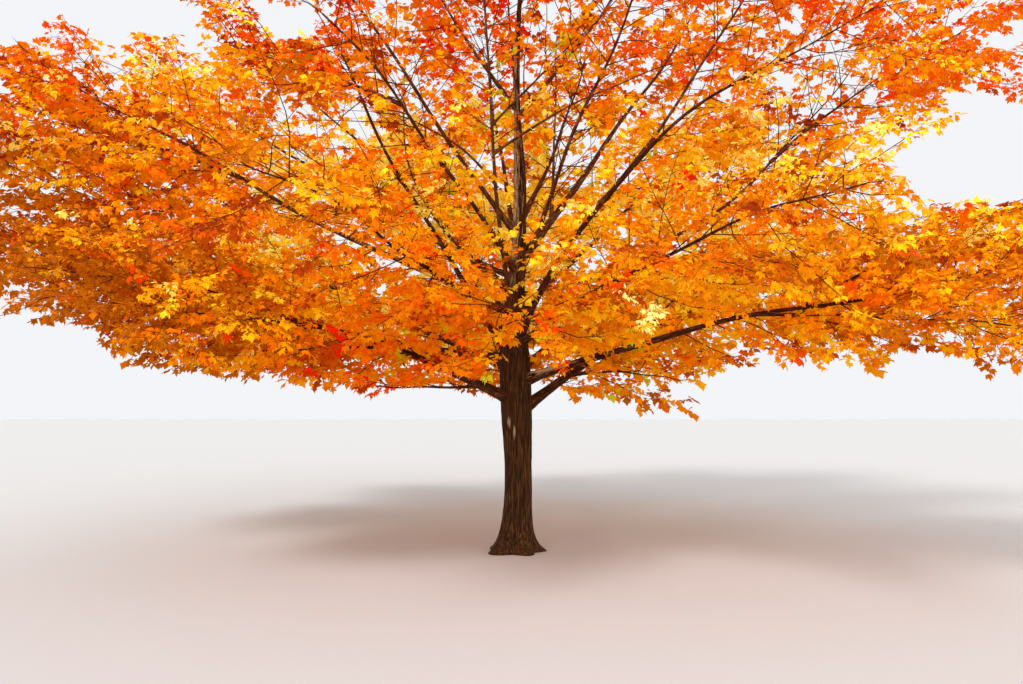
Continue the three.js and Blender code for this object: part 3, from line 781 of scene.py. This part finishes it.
def stick_arrays(lines, radii, sides):
    """Thin closed tubes, every one through the same number of points. lines is (n, k, 3), radii (n, k)."""
    count, rows = lines.shape[:2]
    level, over = beside_and_over(unit(np.gradient(lines, axis=1)), 0.1)
    angle = np.arange(sides) * 2 * math.pi / sides
    ring = level[..., None, :] * np.cos(angle)[:, None] + over[..., None, :] * np.sin(angle)[:, None]
    corners = lines[..., None, :] + ring * radii[..., None, None]
    corners = corners[:, :-1].reshape(count, -1, 3)
    corners = np.concatenate([corners, lines[:, -1:]], 1)
    faces = []
    for row in range(rows - 2):
        for i in range(sides):
            a, b = row * sides + i, row * sides + (i + 1) % sides
            faces += [(a, b + sides, b), (a, a + sides, b + sides)]
    last = (rows - 2) * sides
    faces += [(last + i, last + sides, last + (i + 1) % sides) for i in range(sides)]
    faces += [(0, i, i + 1) for i in range(1, sides - 1)]
    return repeated(corners, faces)


def all_sticks(shoots, twigs, leafy):
    """The leafy twigs, and every shoot as far as its last leafy twig."""
    roots, middles, ends, owners = (rows[leafy] for rows in twigs)
    parts = []
    for number, (points, radius, _, _) in enumerate(shoots):
        places = roots[owners == number]
        if len(places) == 0:
            continue
        far = norm(points - points[0])
        last = norm(places - points[0]).max() + SHOOT_PAST_TWIG
        points = points[:max(int(np.searchsorted(far, last)) + 1, 2)]
        radii = np.linspace(radius, SHOOT_TIP_RADIUS, len(points))
        parts.append(stick_arrays(points[None], radii[None], SHOOT_SIDES))
    straight = roots[:, 1] > STRAIGHT_FROM
    for some, rows in ((~straight, (roots, middles, ends)), (straight, (roots, ends))):
        if some.any():
            radii = np.tile(np.linspace(TWIG_RADIUS, TWIG_TIP_RADIUS, len(rows)), (some.sum(), 1))
            parts.append(stick_arrays(np.stack(rows, 1)[some], radii, TWIG_SIDES))
    return joined(parts)


def new_mesh(name, corners, faces, materials, index=None, bark=None):
    """A mesh and its object: flat where an index deals materials out by face, otherwise smooth."""
    mesh = bpy.data.meshes.new(name)
    faces = np.asarray(faces)
    mesh.vertices.add(len(corners))
    mesh.vertices.foreach_set("co", np.asarray(corners, np.float32).ravel())
    mesh.loops.add(faces.size)
    mesh.loops.foreach_set("vertex_index", faces.astype(np.int32).ravel())
    mesh.polygons.add(len(faces))
    mesh.polygons.foreach_set("loop_start", np.arange(len(faces), dtype=np.int32) * faces.shape[1])
    for material in materials:
        mesh.materials.append(material)
    if index is not None:
        mesh.polygons.foreach_set("material_index", np.asarray(index, np.int32))
    mesh.polygons.foreach_set("use_smooth", np.full(len(faces), index is None))
    if bark is not None:
        layer = mesh.attributes.new("bark_place", "FLOAT_VECTOR", "POINT")
        layer.data.foreach_set("vector", np.asarray(bark, np.float32).ravel())
    mesh.update(calc_edges=True)
    mesh.validate()
    return linked(name, mesh)


def linked(name, data):
    thing = bpy.data.objects.new(name, data)
    bpy.context.scene.collection.objects.link(thing)
    return thing


def leaf_mesh(name, leaves, tint, leaf_materials, rng):
    """All leaves of a mass as one mesh, with more faces to each on the photograph's side."""
    far = ramp(leaves["base"][:, 1], *OUTLINE_RAMP)
    chance = rng.random(len(far))
    lobed = chance < mix(*LOBED_SHARES, far)
    simple = chance > 1 - mix(*SIMPLE_SHARES, far)
    parts, tints = [], []
    for half, chosen in ((LOBED_HALF, lobed), (SIMPLE_HALF, simple), (PLAIN_HALF, ~lobed & ~simple)):
        some = {key: value[chosen] for key, value in leaves.items()}
        corners, faces, owner = leaf_arrays(some, half)
        parts.append((corners, faces))
        tints.append(tint[some["twig"][owner]])
    used, slots = np.unique(np.concatenate(tints), return_inverse=True)
    corners, faces = joined(parts)
    return new_mesh(name, corners, faces, [leaf_materials[i] for i in used], slots)


# Bark relief

def value_noise(points, seed):
    """Smooth noise from -1 to 1 at each row of points."""
    cell = np.floor(points).astype(np.int64)
    part = points - cell
    part = part * part * (3 - 2 * part)
    total = 0
    for corner in np.ndindex(2, 2, 2):
        mixed = np.bitwise_xor.reduce((cell + corner) * CELL_PRIMES, axis=-1) ^ (seed * SEED_PRIME)
        mixed = (mixed ^ (mixed >> 13)) * MIX_PRIME & HASH_MOST
        mixed = (mixed ^ (mixed >> 16)) & HASH_MOST
        total = total + np.where(corner, part, 1 - part).prod(-1) * (mixed / HASH_MOST * 2 - 1)
    return total


def bark_relief(place, across, along, seed):
    """Ridges along the stem that part and join again, from -1 in a furrow to 1 on a ridge."""
    warp = value_noise(place * WARP_PITCH, seed + 1)
    warped = place + np.stack([warp, -warp, 0 * warp], -1) * WARP_REACH
    fine = value_noise(warped * [across, across, along], seed + 2)
    wide = value_noise(warped * [across * 0.5, across * 0.5, along * 0.55], seed + 3)
    ridge = 1 - 2 * np.abs(fine * 0.75 + wide * 0.45)
    return np.clip(ridge, -1, 1)


def ring_mesh(name, centres, ways, radii, relief, material, seed):
    """A closed tube of rows of rings, with bark relief. radii is (rows, sides)."""
    rows, sides = radii.shape
    across = np.empty_like(ways)
    side, _ = beside_and_over(ways[0], 0.1)
    for i, way in enumerate(ways):
        side = unit(side - way * np.dot(side, way))
        across[i] = side
    over = np.cross(ways, across)
    angle = np.arange(sides) * 2 * math.pi / sides
    run = np.concatenate([[0], np.cumsum(norm(np.diff(centres, axis=0)))])
    along = np.tile(run[:, None] + seed * BARK_SHIFT, (1, sides))
    place = np.stack([radii * np.cos(angle), radii * np.sin(angle), along], -1)
    grown = radii + relief(place, radii)
    ring = across[:, None] * np.cos(angle)[:, None] + over[:, None] * np.sin(angle)[:, None]
    corners = centres[:, None] + ring * grown[..., None]
    index = np.arange(rows * sides).reshape(rows, sides)
    a, b = index[:-1], np.roll(index, -1, 1)[:-1]
    c, d = np.roll(index, -1, 1)[1:], index[1:]
    faces = np.stack([a, b, c, a, c, d], -1).reshape(-1, 3)
    low, high, top = rows * sides, rows * sides + 1, (rows - 1) * sides
    caps = [(low, (i + 1) % sides, i) for i in range(sides)]
    caps += [(high, top + i, top + (i + 1) % sides) for i in range(sides)]
    corners = np.concatenate([corners.reshape(-1, 3), centres[:1], centres[-1:]])
    ends = np.array([[0, 0, place[0, 0, 2]], [0, 0, place[-1, 0, 2]]])
    bark = np.concatenate([place.reshape(-1, 3), ends])
    return new_mesh(name, corners, np.concatenate([faces, np.array(caps)]), [material], bark=bark)


def trunk_mesh(material):
    z = TRUNK_HEIGHT * np.linspace(0, 1, TRUNK_ROWS) ** TRUNK_CROWDING
    angle = np.arange(TRUNK_SIDES) * 2 * math.pi / TRUNK_SIDES
    radii = trunk_radius(z[:, None], angle[None, :])
    ways = np.tile(UP, (TRUNK_ROWS, 1))

    def relief(place, radii):
        depth = TRUNK_RIDGE_DEPTH * np.clip(radii / TRUNK_RIDGE_GIRTH, 0.15, 1.15)
        furrow = bark_relief(place, *TRUNK_RIDGES, 5) * depth
        furrow[0] *= 0.3
        lumps = value_noise(place * TRUNK_LUMPS, 11) * TRUNK_LUMP_SHARE * radii
        return furrow - depth * 0.4 + lumps

    return ring_mesh("trunk_bark", trunk_centre(z), ways, radii, relief, material, 0)


def limb_mesh(name, limb, material, seed):
    reach = limb.end * np.linspace(0, 1, LIMB_ROWS) ** LIMB_CROWDING
    centres = point_at(limb, reach)
    ways = unit(np.gradient(centres, axis=0))
    slim = mix(1, LIMB_SLIM, smooth(reach / SLIM_LENGTH))
    radii = np.tile((radius_at(limb, reach) * slim)[:, None], (1, LIMB_SIDES))

    def relief(place, radii):
        furrow = bark_relief(place, *LIMB_RIDGES, seed + 20) * LIMB_RIDGE_SHARE
        lumps = value_noise(place * LIMB_LUMPS, seed + 40) * LIMB_LUMP_SHARE
        return radii * (furrow + lumps)

    return ring_mesh(name, centres, ways, radii, relief, material, seed)


# Materials

def linear(colour):
    """An sRGB colour as a node wants it."""
    return (*(((c + 0.055) / 1.055) ** 2.4 if c > 0.04045 else c / 12.92 for c in colour), 1)


def new_material(name):
    material = bpy.data.materials.new(name)
    material.use_nodes = True
    return material, material.node_tree.nodes["Principled BSDF"]


def set_sockets(material, node, sockets):
    """Each socket is set to its value, or linked where the value is another node's outlet."""
    for key, value in sockets.items():
        if isinstance(value, bpy.types.NodeSocket):
            material.node_tree.links.new(value, node.inputs[key])
        else:
            node.inputs[key].default_value = value


def plain_material(name, colour, roughness, glow=0.0):
    material, shader = new_material(name)
    sockets = {"Base Color": linear(colour), "Roughness": roughness, "Specular IOR Level": 0.05}
    glows = {"Emission Color": linear(colour), "Emission Strength": glow}
    set_sockets(material, shader, {**sockets, **glows})
    return material


def add_node(material, kind, outlet, sockets, **settings):
    """Adds a node and gives its outlet."""
    node = material.node_tree.nodes.new("ShaderNode" + kind)
    for key, value in settings.items():
        setattr(node, key, value)
    set_sockets(material, node, sockets)
    return node.outputs[outlet]


def mapped(add, source, places, values):
    """A value with one range mapped to another."""
    names = ("From Min", "From Max", "To Min", "To Max")
    return add("MapRange", "Result", {"Value": source, **dict(zip(names, places + values))})


def pale_scar_and_painted_light(add, place, grain, colour, spot):
    """The colour with one pale place, whose rim follows the bark's grain. It paints pale scars and also
    painted light on lit sides of the bark.
    """
    centre, half, strength = spot
    offset = add("VectorMath", "Vector", {0: place, 1: centre}, operation="SUBTRACT")
    shares = add("VectorMath", "Vector", {0: offset, 1: half}, operation="DIVIDE")
    away = add("VectorMath", "Value", {0: shares}, operation="LENGTH")
    uneven = add("Math", "Value", {0: grain, 1: -2.6, 2: away}, operation="MULTIPLY_ADD")
    share = mapped(add, uneven, (-0.4, -1.0), (0, strength))
    return add("Mix", 2, {"Factor": share, 6: colour, 7: linear(PALE_SCAR_AND_PAINTED_LIGHT)}, data_type="RGBA")


def bark_material(name, scar_and_light_places):
    """Bark by nodes, from the place on the straightened stem: furrows, ridges and worn crests, then pale
    places, which are pale scars and painted light on lit sides.
    """
    furrow, ridge, crest, across, along, bump = BARKS[name]
    material, shader = new_material(name)
    add = partial(add_node, material)
    place = add("Attribute", "Vector", {}, attribute_name="bark_place")
    stretch = add("Mapping", "Vector", {"Vector": place, "Scale": (across, across, along)})
    noise = {"Scale": 1.0, "Detail": 6.0, "Roughness": 0.62, "Distortion": 0.5}
    grain = add("TexNoise", "Fac", {"Vector": stretch, **noise})
    tones = add("ValToRGB", "Color", {"Fac": grain})
    stops = tones.node.color_ramp.elements
    stops[0].position, stops[0].color = 0.36, linear(furrow)
    stops[1].position, stops[1].color = 0.72, linear(crest)
    stops.new(0.52).color = linear(ridge)
    patches = add("TexNoise", "Fac", {"Vector": place, "Scale": 3.2, "Detail": 3.0})
    colour = add("Mix", 2, {"Factor": 0.45, 6: tones, 7: patches}, data_type="RGBA", blend_type="MULTIPLY")
    # Pale places: pale scars, and painted light on lit sides of the bark
    for spot in scar_and_light_places:
        colour = pale_scar_and_painted_light(add, place, grain, colour, spot)
    rough = mapped(add, grain, (0, 1), (0.98, 0.72))
    relief = add("Bump", "Normal", {"Strength": 0.7, "Distance": bump, "Height": grain})
    sockets = {"Specular IOR Level": 0.15, "Base Color": colour, "Roughness": rough, "Normal": relief}
    set_sockets(material, shader, sockets)
    return material


# Tints

def warmth_at(points):
    """How yellow a spray is, from 0 for scarlet to 1 for pale yellow, by its place in the crown."""
    x, y, z = points.T
    out = np.hypot(x, y)
    low = ramp(z, 1.6, 1.4)
    front = ramp(y, -0.4, -1.6)
    behind = ramp(y, -0.4, 1.8) * (1 - 0.75 * ramp(out, 2.6, 1.6))
    lit = ramp(y, -0.3, 1.0) * band(x, -3.4, 1.7, 1.5) * band(z, 4.9, 1.4, 1.5)
    seen_x, seen_z = x + 0.42 * y, z - 0.4 * y  # constant along a line of sight there
    terms = (
        # golden near the trunk, behind it, and at the right in mid height
        (0.30, ramp(out, 3.4, -3.4), ramp(z, 6.2, -2.6), low),
        (0.24, behind, low, 1 - 0.6 * ramp(z, 4.6, 1.6)),
        (0.30, ramp(x, 1.0, 1.8), band(z, 3.9, 1.2, 1.05)),
        (-0.07, ramp(x, 3.0, 1.2), ramp(z, 4.1, 0.8)),
        # yellow at the upper left, and in a patch left of the fork
        (0.42, lit),
        (0.42, band(seen_x, -3.98, 0.42, 1.6), ramp(seen_z, 5.2, 0.4)),
        (0.05, band(seen_x, -4.7, 0.8, 1.6), ramp(seen_z, 4.6, 0.5)),
        (0.38, band(x, -2.1, 0.45, 1.5), band(z, 4.05, 0.35, 1.5), front),
        (0.08, ramp(x, -3.6, -1.0), ramp(z, 4.6, -0.8)),
        (0.16, band(x, 1.5, 0.5, 1.6), ramp(z, 2.0, -0.3), ramp(y, 0.5, -0.5)),
        # the top: redder over the trunk, warmer at the right
        (-0.09, band(x, -0.5, 0.6, 1.3), ramp(z, 4.8, 0.8)),
        (0.06, ramp(x, 1.2, 0.8), ramp(z, 5.0, 0.8)),
        (0.05, ramp(np.abs(x), 0.4, 2), ramp(z, 5.5, -2)),
        (-0.08, ramp(z, 3.6, 2.6), ramp(x, 0.8, -3)),
        (-0.15, ramp(z, 4.0, 1.4), front),
        (-0.13, ramp(z, 4.9, 1.4), 1 - lit),
        # the low rim and the left side
        (-0.07, ramp(out, 3.0, 1.4), ramp(z, 3.5, -1.1), ramp(x, 0.6, -1.2)),
        (-0.14, band(x, -0.9, 1.1, 1.4), ramp(z, 2.9, -0.5), ramp(y, 0.2, -0.8)),
        (0.10, ramp(x, -2.2, -1.6), ramp(z, 3.4, -1.2)),
        (-0.07, ramp(x, -1.2, -2), ramp(z, 3.0, 1.2), front),
    )
    warmth = np.full(len(points), 0.55)
    for weight, *factors in terms:
        warmth += weight * np.prod(factors, axis=0)
    return warmth


def shade_at(points):
    """The share of the sprays that have a darker tint: most at the crown's lower left."""
    x, y, z = points.T
    low = ramp(z, 4.3, -2.0)
    left = ramp(x, -0.6, -3.4)
    rim = ramp(np.hypot(x, y), 2.4, 2)
    corner = ramp(x, -2.2, -1.6) * ramp(z, 3.4, -1.2)
    edge = ramp(x, -3.5, -1.2) * ramp(z, 4.9, -1.0)
    return 0.05 + 0.50 * low * left + 0.14 * low * rim + 0.25 * corner + 0.45 * edge


def deal_tints(twigs, shoots, rng):
    """The tint of each twig, as an index into TINT_NAMES."""
    roots, _, ends, owners = twigs
    count = len(roots)
    clump = rng.normal(0, SPRAY_SPREAD, len(shoots))
    spread = mix(1, HIGH_SPREAD, ramp(ends[:, 2], *HIGH_SPREAD_RAMP))
    warmth = warmth_at((roots + ends) / 2) + (clump[owners] + rng.normal(0, TWIG_SPREAD, count)) * spread
    warmth += np.where(rng.random(count) < ODD_SHARE, rng.choice(ODD_STEPS, count), 0)
    tint = np.clip((warmth * WARM_STEPS).astype(int), 0, WARM_STEPS - 1)
    shaded = rng.random(count) + SHADED_CLUMPING * clump[owners] < shade_at(ends)
    dark = np.clip(((warmth - SHADED_FROM) * SHADED_STEPS).astype(int), 0, len(SHADED_TINTS) - 1)
    tint = np.where(shaded, TINT_NAMES.index(SHADED_TINTS[0]) + dark, tint)
    inner = np.hypot(ends[:, 0], ends[:, 1]) < GREEN_REACH
    tint[inner & (rng.random(count) < GREEN_SHARE)] = TINT_NAMES.index("yellow_green")
    sunlit = band(norm((ends - SUNLIT_PLACE) / SUNLIT_HALF), 0, 1 / 1.4, 2)
    tint[rng.random(count) < SUNLIT_SHARE * sunlit] = TINT_NAMES.index("sunlit_cream")
    return tint


# The tree

def dress_limb(index, limb, forks, walls, line, materials):
    """A bough with its side forks, twigs and leaves."""
    rng = np.random.default_rng(LIMB_SEED + index)
    bark = materials["high_bark" if point_at(limb, 0)[2] > HIGH_LIMBS else "limb_bark"]
    bough = limb_mesh("limb_" + limb.name, limb, bark, index)
    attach(bough, "root")
    if limb.bare > 0:
        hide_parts("bough_" + limb.name)
    shoots = limb_shoots(limb, walls, rng)
    for fork in forks:
        piece = limb_mesh("limb_" + fork.name, fork, bark, index + FORK_BARK_SEED)
        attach(piece, "root")
        shoots += limb_shoots(fork, walls, rng)
    twigs = grow_twigs(shoots, walls, rng)
    leaves = grow_leaves(twigs, rng)
    tint = deal_tints(twigs, shoots, rng)
    leaves, leafy = kept_leaves(leaves, line, len(tint), rng)
    corners, faces = all_sticks(shoots, twigs, leafy)
    sticks = new_mesh("twigs_" + limb.name, corners, faces, [materials["twig_bark"]])
    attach(sticks, "root")
    crown = leaf_mesh("leaves_" + limb.name, leaves, tint, materials["leaves"], rng)
    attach(crown, "root")
    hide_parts("foliage_" + limb.name)


def dress(materials):
    limbs, side_forks = make_limbs()
    line = shown_line(limbs + side_forks)
    trunk = trunk_mesh(materials["trunk_bark"])
    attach(trunk, "root")
    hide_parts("trunk")
    for limb in limbs + side_forks:
        limb.end = leafy_end(limb)
    for index, limb in enumerate(limbs):
        forks = [fork for fork in side_forks if fork.mass == limb.name]
        rest = [other.heart for other in limbs if other is not limb]
        walls = [((heart + limb.heart) / 2, unit(heart - limb.heart)) for heart in rest]
        dress_limb(index, limb, forks, walls, line, materials)


def make_materials():
    return {
        # The trunk bark carries painted light on the upper stem's left side and pale scars; the limb bark
        # carries painted light on the low right limb's top
        "trunk_bark": bark_material("furrowed_bark", TRUNK_SCARS_AND_PAINTED_LIGHT),
        "limb_bark": bark_material("limb_bark", LIMB_PAINTED_LIGHT),
        "high_bark": bark_material("high_limb_bark", ()),
        "twig_bark": plain_material("twig_bark", (0.40, 0.17, 0.07), 0.7),
        "leaves": [plain_material("leaf_" + name, TINTS[name], 0.6, GLOWS[name]) for name in TINTS],
    }


def set_stage():
    rim = [(-1, -1), (1, -1), (1, 1), (-1, 1)]
    corners = [(x * FLOOR_REACH, y * FLOOR_REACH, -FLOOR_DROP) for x, y in rim]
    pale = plain_material("floor_pale", (0.80, 0.79, 0.78), 0.9)
    floor = new_mesh("floor", corners, [(0, 1, 2, 3)], [pale])
    world = bpy.data.worlds.new("studio")
    world.use_nodes = True
    sky = world.node_tree.nodes["Background"]
    sky.inputs["Color"].default_value = (0.96, 0.97, 1.0, 1)
    sky.inputs["Strength"].default_value = 0.94
    bpy.context.scene.world = world
    for name, strength, width, turn in SUNS:
        light = bpy.data.lights.new(name, "SUN")
        light.energy = strength
        light.angle = math.radians(width)
        linked(name, light).rotation_euler = [math.radians(a) for a in turn]
    bpy.context.scene.view_settings.view_transform = "Standard"


def set_camera():
    camera = bpy.data.cameras.new("photo_camera")
    camera.sensor_width = SENSOR_MM
    camera.lens = FOCAL_PIXELS / PHOTO_WIDTH * SENSOR_MM
    thing = linked("photo_camera", camera)
    thing.location = CAMERA_PLACE
    thing.rotation_euler = (math.radians(90 + CAMERA_PITCH), 0, 0)
    bpy.context.scene.camera = thing


set_camera()
dress(make_materials())
set_stage()
